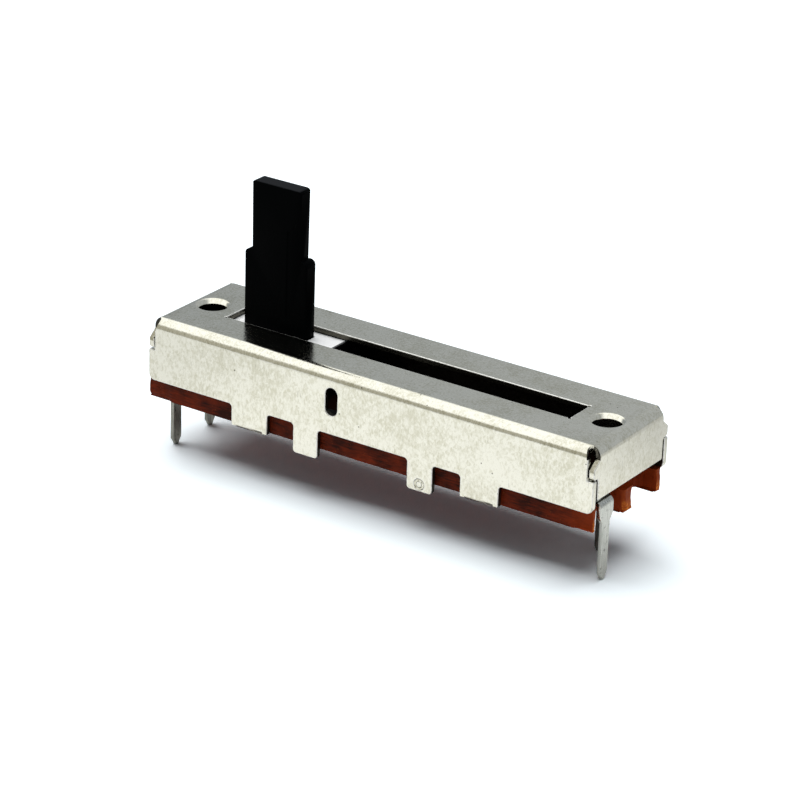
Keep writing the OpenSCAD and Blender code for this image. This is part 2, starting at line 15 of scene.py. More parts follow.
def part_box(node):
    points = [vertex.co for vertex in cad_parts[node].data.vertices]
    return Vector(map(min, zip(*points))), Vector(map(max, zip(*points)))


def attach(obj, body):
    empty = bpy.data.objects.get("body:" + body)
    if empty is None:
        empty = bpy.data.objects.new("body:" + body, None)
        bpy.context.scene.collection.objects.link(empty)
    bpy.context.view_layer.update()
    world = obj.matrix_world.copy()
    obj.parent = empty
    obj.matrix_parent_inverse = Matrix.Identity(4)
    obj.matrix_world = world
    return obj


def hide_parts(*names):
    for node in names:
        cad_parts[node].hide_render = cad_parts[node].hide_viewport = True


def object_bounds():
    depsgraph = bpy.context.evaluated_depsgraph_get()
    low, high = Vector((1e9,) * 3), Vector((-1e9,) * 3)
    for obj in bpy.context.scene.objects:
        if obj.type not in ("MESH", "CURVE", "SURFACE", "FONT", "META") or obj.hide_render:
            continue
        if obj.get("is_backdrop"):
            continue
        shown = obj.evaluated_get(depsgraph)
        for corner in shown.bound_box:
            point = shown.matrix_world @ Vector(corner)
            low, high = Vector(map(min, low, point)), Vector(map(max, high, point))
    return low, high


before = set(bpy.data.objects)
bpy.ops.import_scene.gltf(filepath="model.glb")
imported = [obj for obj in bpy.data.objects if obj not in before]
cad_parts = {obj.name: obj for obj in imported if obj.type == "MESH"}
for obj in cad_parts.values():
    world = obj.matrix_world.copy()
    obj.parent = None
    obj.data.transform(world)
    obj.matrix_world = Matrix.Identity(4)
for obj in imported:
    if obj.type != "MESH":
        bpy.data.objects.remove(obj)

LOG = logging.getLogger("slide_potentiometer")
MM = 0.001
MERGE_MM = 0.0015
FLAT_DEG = 0.05
SHARP_DEG = 55.0

Tree = bpy.types.NodeTree
Socket = bpy.types.NodeSocket
Items = bpy.types.bpy_prop_collection
Colour = tuple[float, float, float, float]
Pair = tuple[float, float]
Triple = tuple[float, float, float]
Feed = Socket | float | tuple[float, ...]

SMOOTH = {"interpolation_type": "SMOOTHSTEP"}
# A Mix of colours takes its share at 0 and the colours at 6 and 7, and gives the result at 2
RGBA = {"data_type": "RGBA"}
TIMES = {"operation": "MULTIPLY"}
TIMES_PLUS = {"operation": "MULTIPLY_ADD"}


class Body(Enum):
    """The two rigid bodies of the part."""

    HOUSING = "housing"
    SLIDER = "slider"


class Slot(Enum):
    """Material slots of the record; each new piece is given one, which nothing here reads."""

    COVER = "cover"
    BOARD = "board"
    TERMINAL = "terminal"
    LEVER = "lever"


class Skin(Enum):
    """Which surface of a folded sheet a face belongs to, by its place in the finish list."""

    OUTER = 0
    CUT = 1
    INNER = 2
    RIM = 3


# ---- Colours and nodes ----


def linear(hex_colour: str) -> Colour:
    """Turns an sRGB colour into the linear colour that shaders take.

    Args:
        hex_colour: six hex digits after a hash sign.

    Returns:
        Linear red, green and blue, and an alpha of 1.
    """
    srgb = np.array([int(hex_colour[i : i + 2], 16) for i in (1, 3, 5)]) / 255
    rgb = np.where(srgb <= 0.04045, srgb / 12.92, ((srgb + 0.055) / 1.055) ** 2.4)
    return (*(float(c) for c in rgb), 1.0)


def metres(*sizes_mm: float) -> tuple[float, ...]:
    """Turns millimetres into metres."""
    return tuple(size * MM for size in sizes_mm)


def per_mm(size_mm: float) -> float:
    """Gives the pattern scale whose features are size_mm across on coordinates in metres."""
    return 1 / (size_mm * MM)


def add_node(
    tree: Tree,
    kind: str,
    sockets: Mapping[str | int, Feed] | None = None,
    settings: Mapping[str, object] | None = None,
) -> Items:
    """Adds one node with its settings and links.

    Args:
        tree: the node tree that gets it.
        kind: the name of the node's class, without the ShaderNode that starts it.
        sockets: each input by name or number, with its value or the output that feeds it.
        settings: the node's own properties by name.

    Returns:
        The new node's outputs.
    """
    node = tree.nodes.new(f"ShaderNode{kind}")
    for name, value in (settings or {}).items():
        setattr(node, name, value)
    for name, value in (sockets or {}).items():
        if isinstance(value, Socket):
            tree.links.new(value, node.inputs[name])
        else:
            node.inputs[name].default_value = value
    return node.outputs


def streaks(tree: Tree, place: Socket, size_mm: Triple, **detail: float) -> Socket:
    """Gives a noise that is stretched along the axes.

    Args:
        tree: the material's node tree.
        place: the piece's coordinates.
        size_mm: size of the noise's features along X, Y and Z.
        detail: the noise's other sockets by name.

    Returns:
        The noise, from 0 to 1.
    """
    scale = tuple(per_mm(size) for size in size_mm)
    scaled = add_node(tree, "Mapping", {"Vector": place, "Scale": scale})[0]
    return add_node(tree, "TexNoise", {"Vector": scaled, "Scale": 1.0, **detail})["Fac"]


def blend(
    tree: Tree,
    pattern: Socket,
    limits: tuple[float, ...],
    colours: tuple[str | Feed, str | Feed],
    most: Feed = 1.0,
    smooth: bool = False,
) -> Socket:
    """Goes from one colour to another as a pattern goes from one limit to the other.

    Args:
        tree: the node tree.
        pattern: what the blend follows.
        limits: the pattern's values at which the change starts and ends.
        colours: both colours, each in sRGB hex, as linear numbers or as an output.
        most: how much of the second colour the end holds.
        smooth: eases the change in and out.

    Returns:
        The blended colour.
    """
    sockets = {"Value": pattern, "From Min": limits[0], "From Max": limits[1], "To Max": most}
    share = add_node(tree, "MapRange", sockets, SMOOTH if smooth else None)[0]
    first, second = (linear(c) if isinstance(c, str) else c for c in colours)
    return add_node(tree, "Mix", {0: share, 6: first, 7: second}, RGBA)[2]


def by_ray(tree: Tree, camera: Colour, mirror: Socket, others: Colour) -> Socket:
    """Picks a colour by what looks at it.

    Args:
        tree: the node tree.
        camera: what the camera sees.
        mirror: what mirrors and clear things see.
        others: what lights other surfaces.

    Returns:
        The colour.
    """
    rays = add_node(tree, "LightPath")
    mirrored = add_node(
        tree, "Math",
        {0: rays["Is Glossy Ray"], 1: rays["Is Transmission Ray"]},
        {"operation": "MAXIMUM"},
    )[0]
    unseen = add_node(tree, "Mix", {0: mirrored, 6: others, 7: mirror}, RGBA)[2]
    return add_node(tree, "Mix", {0: rays["Is Camera Ray"], 6: unseen, 7: camera}, RGBA)[2]


@dataclass(frozen=True)
class Finish:
    """A material that starts from what the real one is and how its surface was made."""

    name: str

    def material(self) -> bpy.types.Material:
        """Gives this finish's material, made at the first call.

        Returns:
            The material, shared by every piece of this finish.
        """
        found = bpy.data.materials.get(self.name)
        if found:
            return found
        material = bpy.data.materials.new(self.name)
        material.use_nodes = True
        tree = material.node_tree
        tree.nodes.clear()
        add_node(tree, "OutputMaterial", {"Surface": self.shader(tree)})
        return material

    def shader(self, tree: Tree) -> Socket:
        """Builds the finish's nodes.

        Args:
            tree: the material's node tree.

        Returns:
            The shader's output.
        """
        raise NotImplementedError

    @staticmethod
    def place(tree: Tree) -> Socket:
        """Gives the piece's own coordinates, in metres."""
        return add_node(tree, "TexCoord")["Object"]


@dataclass(frozen=True)
class GrainedFinish(Finish):
    """A finish that one of its patterns roughens, from smoothest up by roughening."""

    smoothest: float = 0.18
    roughening: float = 0.15

    def surface(self, tree: Tree, pattern: Socket, sockets: Mapping[str, Feed]) -> Socket:
        """Adds the shader.

        Args:
            tree: the material's node tree.
            pattern: what roughens it, from 0 to 1.
            sockets: the shader's other sockets by name.

        Returns:
            The shader's output.
        """
        rough = add_node(
            tree, "Math", {0: pattern, 1: self.roughening, 2: self.smoothest}, TIMES_PLUS
        )[0]
        return add_node(tree, "BsdfPrincipled", {"Roughness": rough, **sockets})[0]


@dataclass(frozen=True)
class TinPlate(GrainedFinish):
    """Cold-rolled steel sheet, electro-tinned.

    It is a soft grey mirror: near things reflect in it almost sharply, the flowed tin gives it
    a cloudy mottle and fine spangle, handling short scuffs, and the plating a few dark pits.
    """

    name: str = "tin_plate_cold_rolled"
    light: str = "#F0EFE2"
    dark: str = "#D5D3C0"
    pit: str = "#4C4A42"
    smoothest: float = 0.09
    roughening: float = 0.14
    cloud_mm: float = 4.5
    flow_mm: float = 0.9
    # Real spangle and scuffs are about 0.02 mm wide, too fine to show: both are drawn coarser
    spangle_mm: Triple = (0.16, 0.16, 0.26)
    scuff_mm: Triple = (0.07, 0.07, 0.9)
    cloud_share: float = 1.1
    spangle_share: float = 1.7
    toned: Pair = (1.52, 2.06)
    scuffs_and_sheen: Pair = (0.66, 0.74)
    scuff_strength: float = 0.35
    pit_mm: float = 0.85
    pitted: Pair = (0.075, 0.04)
    pit_chosen: float = 0.62
    wave_mm: float = 2.4
    wave_depth_mm: float = 0.009
    spangle_depth_mm: float = 0.008

    def shader(self, tree: Tree) -> Socket:
        """Clouds, flow, spangle, scuffs and pits colour it; waves and spangle are its bump.

        Args:
            tree: the material's node tree.

        Returns:
            The shader's output.
        """
        place = self.place(tree)
        cloud = add_node(
            tree, "TexNoise", {"Vector": place, "Scale": per_mm(self.cloud_mm), "Detail": 3.0}
        )["Fac"]
        flow = add_node(
            tree, "TexNoise",
            {"Vector": place, "Scale": per_mm(self.flow_mm), "Detail": 5.0, "Roughness": 0.65},
        )["Fac"]
        spangle = streaks(tree, place, self.spangle_mm, Detail=3.0, Distortion=0.6)
        scuff = streaks(tree, place, self.scuff_mm, Detail=2.0)
        broad = add_node(tree, "Math", {0: cloud, 1: self.cloud_share, 2: flow}, TIMES_PLUS)[0]
        mixed = add_node(tree, "Math", {0: spangle, 1: self.spangle_share, 2: broad}, TIMES_PLUS)[0]
        sheet = blend(tree, mixed, self.toned, (self.dark, self.light))
        rubbed = blend(
            tree, scuff, self.scuffs_and_sheen, (sheet, self.pit), self.scuff_strength, smooth=True
        )
        pits = add_node(
            tree, "TexVoronoi",
            {"Vector": place, "Scale": per_mm(self.pit_mm), "Randomness": 1.0},
            {"feature": "F1"},
        )
        draw = add_node(tree, "SeparateColor", {0: pits["Color"]})[0]
        chosen = add_node(
            tree, "Math", {0: draw, 1: self.pit_chosen}, {"operation": "GREATER_THAN"}
        )[0]
        colour = blend(tree, pits["Distance"], self.pitted, (rubbed, self.pit), chosen, smooth=True)
        wave = add_node(
            tree, "TexNoise", {"Vector": place, "Scale": per_mm(self.wave_mm), "Detail": 1.0}
        )["Fac"]
        waved = add_node(
            tree, "Bump", {"Height": wave, "Strength": 1.0, "Distance": self.wave_depth_mm * MM}
        )[0]
        bump = add_node(
            tree, "Bump",
            {
                "Height": spangle, "Strength": 0.8, "Distance": self.spangle_depth_mm * MM,
                "Normal": waved,
            },
        )[0]
        return self.surface(
            tree, spangle, {"Base Color": colour, "Metallic": 1.0, "Normal": bump}
        )


@dataclass(frozen=True)
class ShearedSteel(GrainedFinish):
    """The cut edge of the sheet: bare steel, part sheared and part torn.

    It is darker and duller than the tin, with a fine grain.
    """

    name: str = "sheared_steel_edge"
    light: str = "#6F6D63"
    dark: str = "#34322C"
    smoothest: float = 0.28
    roughening: float = 0.2
    # Real shear lines are about 0.01 mm apart, too fine to show: drawn coarser
    grain_mm: float = 0.06
    toned: Pair = (0.3, 0.75)

    def shader(self, tree: Tree) -> Socket:
        """A grain goes from dark to light and roughens it.

        Args:
            tree: the material's node tree.

        Returns:
            The shader's output.
        """
        grain = add_node(
            tree, "TexNoise",
            {"Vector": self.place(tree), "Scale": per_mm(self.grain_mm), "Detail": 3.0},
        )["Fac"]
        colour = blend(tree, grain, self.toned, (self.dark, self.light))
        return self.surface(tree, grain, {"Base Color": colour, "Metallic": 1.0})


@dataclass(frozen=True)
class BurnishedRim(Finish):
    """The rolled-over lip of a punched edge: tin smeared thin and scratched bright.

    It is rough enough to catch the lamp from any side, so it draws a pale line round the
    openings.
    """

    name: str = "tin_rim_burnished"
    light: str = "#FAFAF4"
    dark: str = "#BDBBB0"
    metallic: float = 0.6
    roughness: float = 0.4
    nick_mm: float = 0.2
    toned: Pair = (0.30, 0.46)

    def shader(self, tree: Tree) -> Socket:
        """Nicks break its pale tone.

        Args:
            tree: the material's node tree.

        Returns:
            The shader's output.
        """
        nick = add_node(
            tree, "TexNoise",
            {"Vector": self.place(tree), "Scale": per_mm(self.nick_mm), "Detail": 2.0},
        )["Fac"]
        colour = blend(tree, nick, self.toned, (self.dark, self.light))
        return add_node(
            tree, "BsdfPrincipled",
            {"Base Color": colour, "Metallic": self.metallic, "Roughness": self.roughness},
        )[0]


@dataclass(frozen=True)
class ShadedInsideTin(GrainedFinish):
    """The inside of the cover: dull tin, painted almost black above the lugs as painted shade.

    It shows almost black through the slot and holes, where the inside lies in shade. The lugs'
    inner faces, below the painted shade, stay plain tin.
    """

    name: str = "tin_plate_inside_painted_shade"
    # painted shade: the inside of the cover, darkened where it lies in shade
    painted_shade: str = "#14110F"
    bare: str = "#C9C9BC"
    smoothest: float = 0.25
    roughening: float = 0.3
    shade_above_mm: float = -4.4
    shade_edge_mm: float = 0.02
    blotch_mm: float = 0.8

    def shader(self, tree: Tree) -> Socket:
        """Height parts the painted shade from the bare lugs, and blotches vary its shine.

        Args:
            tree: the material's node tree.

        Returns:
            The shader's output.
        """
        place = self.place(tree)
        height = add_node(tree, "SeparateXYZ", {0: place})[2]
        blotch = add_node(
            tree, "TexNoise", {"Vector": place, "Scale": per_mm(self.blotch_mm), "Detail": 3.0}
        )["Fac"]
        limits = metres(
            self.shade_above_mm - self.shade_edge_mm, self.shade_above_mm + self.shade_edge_mm
        )
        colour = blend(tree, height, limits, (self.bare, self.painted_shade))
        return self.surface(tree, blotch, {"Base Color": colour, "Metallic": 1.0})


@dataclass(frozen=True)
class PhenolicPaper(GrainedFinish):
    """Paper-based phenolic laminate, punched.

    The resin gives it a deep red-brown with darker and redder clouds and a dull shine, the
    ends that face along the board show rough orange where the paper tore, fading to red-brown
    towards the top as painted shade under the end wall, the right end is frayed redder all
    round, and the upper face, under the cover, is painted near-black as painted shade.
    """

    name: str = "phenolic_paper_punched"
    deep: str = "#330F05"
    red: str = "#7C2A0E"
    fleck: str = "#C06A2C"
    torn: str = "#F58C30"
    torn_dark: str = "#A83E10"
    # painted shade on the upper face, under the cover
    painted_shade: str = "#1A0905"
    smoothest: float = 0.4
    roughening: float = 0.3
    shine: float = 0.08
    cloud_mm: float = 1.6
    # Real paper fibres are about 0.03 mm thick, too fine to show: drawn coarser
    fibre_mm: Triple = (0.8, 0.25, 0.09)
    fibre_share: float = 0.7
    toned: Pair = (0.66, 1.08)
    crumb_mm: float = 0.16
    crumb_depth_mm: float = 0.02
    flecked: Pair = (0.66, 0.74)
    fleck_strength: float = 0.55
    crumbled: Pair = (0.35, 0.65)
    torn_mm: Pair = (15.9, 16.1)
    end_facing: Pair = (0.35, 0.75)
    # painted shade under the end wall: the torn orange fades towards the top
    wall_shade_mm: Pair = (-5.5, -4.9)
    wall_shade: float = 0.12
    frayed_mm: Pair = (15.2, 18.2)
    frayed: float = 0.62
    ragged_mm: float = 2.0
    # painted shade: how far along and how upward a face is painted dark
    shade_to_mm: float = 16.4
    shade_facing: float = 0.9

    def shader(self, tree: Tree) -> Socket:
        """Clouds and fibres colour the faces, crumbs the torn ends, and crumbs bump both.

        Args:
            tree: the material's node tree.

        Returns:
            The shader's output.
        """
        place = self.place(tree)
        fibre = streaks(tree, place, self.fibre_mm, Detail=4.0)
        cloud = add_node(
            tree, "TexNoise", {"Vector": place, "Scale": per_mm(self.cloud_mm), "Detail": 4.0}
        )["Fac"]
        crumb = add_node(
            tree, "TexNoise",
            {"Vector": place, "Scale": per_mm(self.crumb_mm), "Detail": 4.0, "Roughness": 0.6},
        )["Fac"]
        mixed = add_node(tree, "Math", {0: fibre, 1: self.fibre_share, 2: cloud}, TIMES_PLUS)[0]
        brown = blend(tree, mixed, self.toned, (self.deep, self.red))
        faces = blend(
            tree, crumb, self.flecked, (brown, self.fleck), self.fleck_strength, smooth=True
        )
        orange = blend(tree, crumb, self.crumbled, (self.torn_dark, self.torn))
        parts = add_node(tree, "SeparateXYZ", {0: place})
        ragged = add_node(
            tree, "Math", {0: cloud, 1: self.ragged_mm * MM, 2: parts[0]}, TIMES_PLUS
        )[0]
        reddened = blend(
            tree, ragged, metres(*self.frayed_mm), (faces, self.torn_dark), self.frayed,
            smooth=True,
        )
        reach = add_node(tree, "Math", {0: parts[0]}, {"operation": "ABSOLUTE"})[0]
        normal = add_node(tree, "NewGeometry")["True Normal"]
        facing = add_node(tree, "SeparateXYZ", {0: normal})
        turned = add_node(tree, "Math", {0: facing[0]}, {"operation": "ABSOLUTE"})[0]
        ended: Feed = 1.0
        for value, limits, start, end in (
            (reach, metres(*self.torn_mm), 0.0, 1.0),
            (turned, self.end_facing, 0.0, 1.0),
            # painted shade: less orange high up, under the end wall
            (parts[2], metres(*self.wall_shade_mm), 1.0, self.wall_shade),
        ):
            share = add_node(
                tree, "MapRange",
                {
                    "Value": value, "From Min": limits[0], "From Max": limits[1],
                    "To Min": start, "To Max": end,
                },
                SMOOTH,
            )[0]
            ended = add_node(tree, "Math", {0: share, 1: ended}, TIMES)[0]
        bare = add_node(tree, "Mix", {0: ended, 6: reddened, 7: orange}, RGBA)[2]
        # painted shade: upward faces under the cover go near-black
        on_top = add_node(
            tree, "Math", {0: facing[2], 1: self.shade_facing}, {"operation": "GREATER_THAN"}
        )[0]
        within = add_node(
            tree, "Math", {0: reach, 1: self.shade_to_mm * MM}, {"operation": "LESS_THAN"}
        )[0]
        shaded_top = add_node(tree, "Math", {0: on_top, 1: within}, TIMES)[0]
        colour = add_node(tree, "Mix", {0: shaded_top, 6: bare, 7: linear(self.painted_shade)}, RGBA)[2]
        bump = add_node(
            tree, "Bump", {"Height": crumb, "Strength": 0.5, "Distance": self.crumb_depth_mm * MM}
        )[0]
        return self.surface(
            tree, fibre,
            {"Base Color": colour, "IOR": 1.5, "Specular IOR Level": self.shine, "Normal": bump},
        )


@dataclass(frozen=True)
class RolledStrip(GrainedFinish):
    """Thin metal strip, rolled and pressed: a grain drawn along it, with dark stains.

    The screened silver ink takes it too, with an even grain.
    """

    light: str = "#D4D7D0"
    dark: str = "#AEB1A9"
    stain: str = "#4C4A42"
    stained: float = 0.6
    # Real drawing lines are about 0.005 mm apart, too fine to show: drawn coarser
    grain_mm: Triple = (0.06, 0.06, 0.9)
    toned: Pair = (0.3, 0.7)
    stain_mm: float = 0.3
    blotted: Pair = (0.56, 0.72)

    def shader(self, tree: Tree) -> Socket:
        """A drawn grain varies its colour and roughness, and blots of stain darken it.

        Args:
            tree: the material's node tree.

        Returns:
            The shader's output.
        """
        place = self.place(tree)
        grain = streaks(tree, place, self.grain_mm, Detail=3.0)
        metal = blend(tree, grain, self.toned, (self.dark, self.light))
        blot = add_node(
            tree, "TexNoise",
            {"Vector": place, "Scale": per_mm(self.stain_mm), "Detail": 4.0, "Roughness": 0.6},
        )["Fac"]
        colour = blend(tree, blot, self.blotted, (metal, self.stain), self.stained, smooth=True)
        return self.surface(tree, grain, {"Base Color": colour, "Metallic": 1.0})


@dataclass(frozen=True)
class Moulding(GrainedFinish):
    """An injection-moulded resin: one colour, a fine spark-eroded grain and a soft shine.

    The screened carbon ink takes it too, because it dries just as even.
    """

    light: str = "#08090B"
    dark: str = "#030405"
    smoothest: float = 0.35
    shine: float = 0.05
    # A real spark-eroded grain is about 0.02 mm, too fine to show: drawn coarser
    grain_mm: float = 0.05
    grain_depth_mm: float = 0.004

    def shader(self, tree: Tree) -> Socket:
        """The mould's grain varies colour and roughness, and is its bump.

        Args:
            tree: the material's node tree.

        Returns:
            The shader's output.
        """
        place = self.place(tree)
        grain = add_node(
            tree, "TexNoise", {"Vector": place, "Scale": per_mm(self.grain_mm), "Detail": 2.0}
        )["Fac"]
        tones = {0: grain, 6: linear(self.dark), 7: linear(self.light)}
        resin = add_node(tree, "Mix", tones, RGBA)[2]
        bump = add_node(
            tree, "Bump", {"Height": grain, "Strength": 0.2, "Distance": self.grain_depth_mm * MM}
        )[0]
        return self.surface(
            tree, grain,
            {
                "Base Color": self.colour(tree, place, resin), "IOR": 1.48,
                "Specular IOR Level": self.shine, "Normal": bump,
            },
        )

    def colour(self, tree: Tree, place: Socket, resin: Socket) -> Socket:
        """Gives the colour at each place: the resin's own all over."""
        return resin


@dataclass(frozen=True)
class LeverMoulding(Moulding):
    """Black acetal, almost without shine: its very top is painted lighter, a painted sheen from the
    light above.
    """

    name: str = "black_acetal_moulded"
    light: str = "#050607"
    dark: str = "#020303"
    # painted sheen on the very top, where the light above would catch it
    scuffs_and_sheen: str = "#1E1F21"
    shine: float = 0.01
    top_sheen_mm: Pair = (9.84, 9.88)

    def colour(self, tree: Tree, place: Socket, resin: Socket) -> Socket:
        """Goes from the resin's colour to the painted sheen at the very top."""
        height = add_node(tree, "SeparateXYZ", {0: place})[2]
        return blend(tree, height, metres(*self.top_sheen_mm), (resin, self.scuffs_and_sheen), smooth=True)


@dataclass(frozen=True)
class ShadedFlankMoulding(Moulding):
    """White acetal whose flanks, down in the slot, are painted dark as painted shade: only its top
    stays white.
    """

    name: str = "white_acetal_shaded_flanks"
    light: str = "#FFFFFF"
    dark: str = "#F4F5F4"
    # painted shade on the flanks, which lie in the cover's shade
    flank_shade: str = "#0D0C0C"
    smoothest: float = 0.33
    shine: float = 0.4
    lit_top_mm: Pair = (-0.62, -0.52)

    def colour(self, tree: Tree, place: Socket, resin: Socket) -> Socket:
        """Goes from the painted shade's colour to the resin's just below the top."""
        height = add_node(tree, "SeparateXYZ", {0: place})[2]
        return blend(tree, height, metres(*self.lit_top_mm), (self.flank_shade, resin), smooth=True)


@dataclass(frozen=True)
class WhiteCard(Finish):
    """The studio's floor: white card, lit by the key light.

    The camera sees it as plain white up to the shadow. Mirrors see a painted pool of light
    on it that fades out in front of the part and stays unfaded behind it, and painted shade
    that darkens it behind the part and to its left.
    """

    name: str = "white_card"
    card: str = "#E4E4E4"
    seen: Colour = (1.22, 1.30, 1.34, 1.0)
    # what mirrors see: a painted pool of light, near to far, and painted shade behind and to the
    # left
    near: Colour = (0.93, 0.93, 0.92, 1.0)
    far: Colour = (0.42, 0.41, 0.36, 1.0)
    pool_centre_mm: Triple = (-8.0, -22.0, 0.0)
    pool_mm: Pair = (32.0, 150.0)
    behind_mm: Pair = (2.0, 28.0)
    behind: float = 0.55
    left_mm: Pair = (-14.0, -26.0)
    left: float = 0.84

    def shader(self, tree: Tree) -> Socket:
        """Picks the card's tone by what looks at it: a camera, a mirror or another surface.

        Args:
            tree: the material's node tree.

        Returns:
            The shader's output.
        """
        place = self.place(tree)
        level = add_node(tree, "VectorMath", {0: place, 1: (1, 1, 0)}, TIMES)[0]
        centre = metres(*self.pool_centre_mm)
        distance = add_node(
            tree, "VectorMath", {0: level, 1: centre}, {"operation": "DISTANCE"}
        )["Value"]
        parts = add_node(tree, "SeparateXYZ", {0: place})
        beside, back = metres(*self.behind_mm)
        forward = add_node(
            tree, "MapRange", {"Value": parts[1], "From Min": back, "From Max": beside}
        )[0]
        # painted pool of light, seen only by mirrors
        shown = blend(
            tree, distance, metres(*self.pool_mm), (self.near, self.far), forward, smooth=True
        )
        # painted shade behind the part and to its left, seen only by mirrors
        for value, limits_mm, end in (
            (parts[1], self.behind_mm, self.behind),
            (parts[0], self.left_mm, self.left),
        ):
            low, high = metres(*limits_mm)
            share = add_node(
                tree, "MapRange",
                {"Value": value, "From Min": low, "From Max": high, "To Min": 1.0, "To Max": end},
                SMOOTH,
            )[0]
            shown = add_node(
                tree, "VectorMath", {0: shown, "Scale": share}, {"operation": "SCALE"}
            )[0]
        colour = by_ray(tree, self.seen, shown, linear(self.card))
        return add_node(tree, "BsdfDiffuse", {"Color": colour})[0]


# ---- Camera and studio ----


@dataclass
class Studio:
    """Camera, white floor, one wide key light overhead to the left, and a pale room."""

    camera_mm: Triple = (117.788, -177.968, 90.025)
    azimuth_deg: float = 33.537
    elevation_deg: float = 23.513
    roll_deg: float = 1.895
    lens_mm: float = 160.30
    sensor_mm: float = 36.0
    clip: Pair = (0.01, 20.0)
    floor_half: float = 2.5
    key_size: Pair = (1.10, 0.98)
    key_direction: Triple = (-0.24, 0.07, 0.93)
    key_distance: float = 0.85
    key_radiance: float = 3.2
    backdrop: str = "#FFFFFF"
    ambient: Colour = (0.125, 0.137, 0.146, 1.0)
    room_left: Colour = (0.29, 0.311, 0.336, 1.0)
    room_right: Colour = (0.43, 0.447, 0.47, 1.0)
    right_from: Pair = (-0.6, -0.42)
    room_front: Colour = (0.45, 0.433, 0.372, 1.0)
    front_from: Pair = (-0.2, -0.5)
    ceiling: Colour = (1.24, 1.24, 1.24, 1.0)
    ceiling_axis: Triple = (-0.50, -0.25, 0.83)
    ceiling_round: Pair = (0.45, 0.70)
    ceiling_from: Pair = (0.38, 0.54)

    def build(self, floor_z: float) -> None:
        """Sets up camera, light, room and floor.

        Args:
            floor_z: height of the floor in metres.
        """
        self.add_camera()
        self.add_key()
        self.add_room()
        self.add_floor(floor_z)
        bpy.context.scene.view_settings.view_transform = "Standard"
        LOG.info("studio: camera, key light, room and floor")

    def add_camera(self) -> None:
        """Looks along azimuth and elevation, turned by the roll about the line of sight."""
        azimuth, elevation, roll = (
            math.radians(a) for a in (self.azimuth_deg, self.elevation_deg, self.roll_deg)
        )
        back = Vector((
            math.sin(azimuth) * math.cos(elevation),
            -math.cos(azimuth) * math.cos(elevation),
            math.sin(elevation),
        ))
        level = Vector((math.cos(azimuth), math.sin(azimuth), 0))
        above = back.cross(level)
        right = math.cos(roll) * level + math.sin(roll) * above
        up = math.cos(roll) * above - math.sin(roll) * level
        data = bpy.data.cameras.new("camera")
        data.lens = self.lens_mm
        data.sensor_width = self.sensor_mm
        data.clip_start, data.clip_end = self.clip
        camera = bpy.data.objects.new("camera", data)
        turn = Matrix((right, up, back)).transposed().to_4x4()
        camera.matrix_world = Matrix.Translation(Vector(self.camera_mm) * MM) @ turn
        bpy.context.scene.collection.objects.link(camera)
        bpy.context.scene.camera = camera

    def add_key(self) -> None:
        """Hangs the key light over the part, facing it. Mirrors see the room's ceiling instead."""
        data = bpy.data.lights.new("key", "AREA")
        data.shape = "RECTANGLE"
        data.size, data.size_y = self.key_size
        data.energy = self.key_radiance * math.pi * data.size * data.size_y
        key = bpy.data.objects.new("key", data)
        back = Vector(self.key_direction).normalized()
        across = Vector((0, 1, 0)).cross(back).normalized()
        along = back.cross(across)
        turn = Matrix((across, along, back)).transposed().to_4x4()
        key.matrix_world = Matrix.Translation(back * self.key_distance) @ turn
        key.visible_glossy = False
        bpy.context.scene.collection.objects.link(key)

    def add_room(self) -> None:
        """Paints the room: grey walls, warmer in front, and a lit ceiling to the left.

        Diffuse surfaces get only a faint even light from it, because the key light is theirs.
        """
        world = bpy.data.worlds.new("room")
        world.use_nodes = True
        tree = world.node_tree
        tree.nodes.clear()
        towards = add_node(tree, "TexCoord")["Generated"]
        parts = add_node(tree, "SeparateXYZ", {0: towards})
        grey = blend(tree, parts[0], self.right_from, (self.room_left, self.room_right))
        walls = blend(tree, parts[1], self.front_from, (grey, self.room_front))
        axis = tuple(Vector(self.ceiling_axis).normalized())
        near_axis = add_node(
            tree, "VectorMath", {0: towards, 1: axis}, {"operation": "DOT_PRODUCT"}
        )["Value"]
        low, high = self.ceiling_round
        overhead = add_node(
            tree, "MapRange", {"Value": near_axis, "From Min": low, "From Max": high}, SMOOTH
        )[0]
        room = blend(
            tree, parts[2], self.ceiling_from, (walls, self.ceiling), overhead, smooth=True
        )
        colour = by_ray(tree, linear(self.backdrop), room, self.ambient)
        light = add_node(tree, "Background", {"Color": colour})[0]
        add_node(tree, "OutputWorld", {"Surface": light})
        bpy.context.scene.world = world

    def add_floor(self, floor_z: float) -> None:
        """Lays the floor.

        Args:
            floor_z: its height in metres.
        """
        half = self.floor_half
        corners = [(-half, -half), (half, -half), (half, half), (-half, half)]
        mesh = bpy.data.meshes.new("floor")
        mesh.from_pydata([(x, y, floor_z) for x, y in corners], [], [(0, 1, 2, 3)])
        mesh.materials.append(WhiteCard().material())
        floor = bpy.data.objects.new("floor", mesh)
        bpy.context.scene.collection.objects.link(floor)
        floor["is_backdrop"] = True


# ---- Meshes ----


def read(items: Items, attribute: str, width: int = 1, kind: type = float) -> np.ndarray:
    """Reads one attribute of all of a mesh's points, corners or faces.

    Args:
        items: the points, corners or faces.
        attribute: its name.
        width: how many numbers it has.
        kind: what numbers they are.

    Returns:
        A row of numbers for each item, or one number where the width is 1.
    """
    values = np.empty(len(items) * width, kind)
    items.foreach_get(attribute, values)
    return values.reshape(-1, width) if width > 1 else values


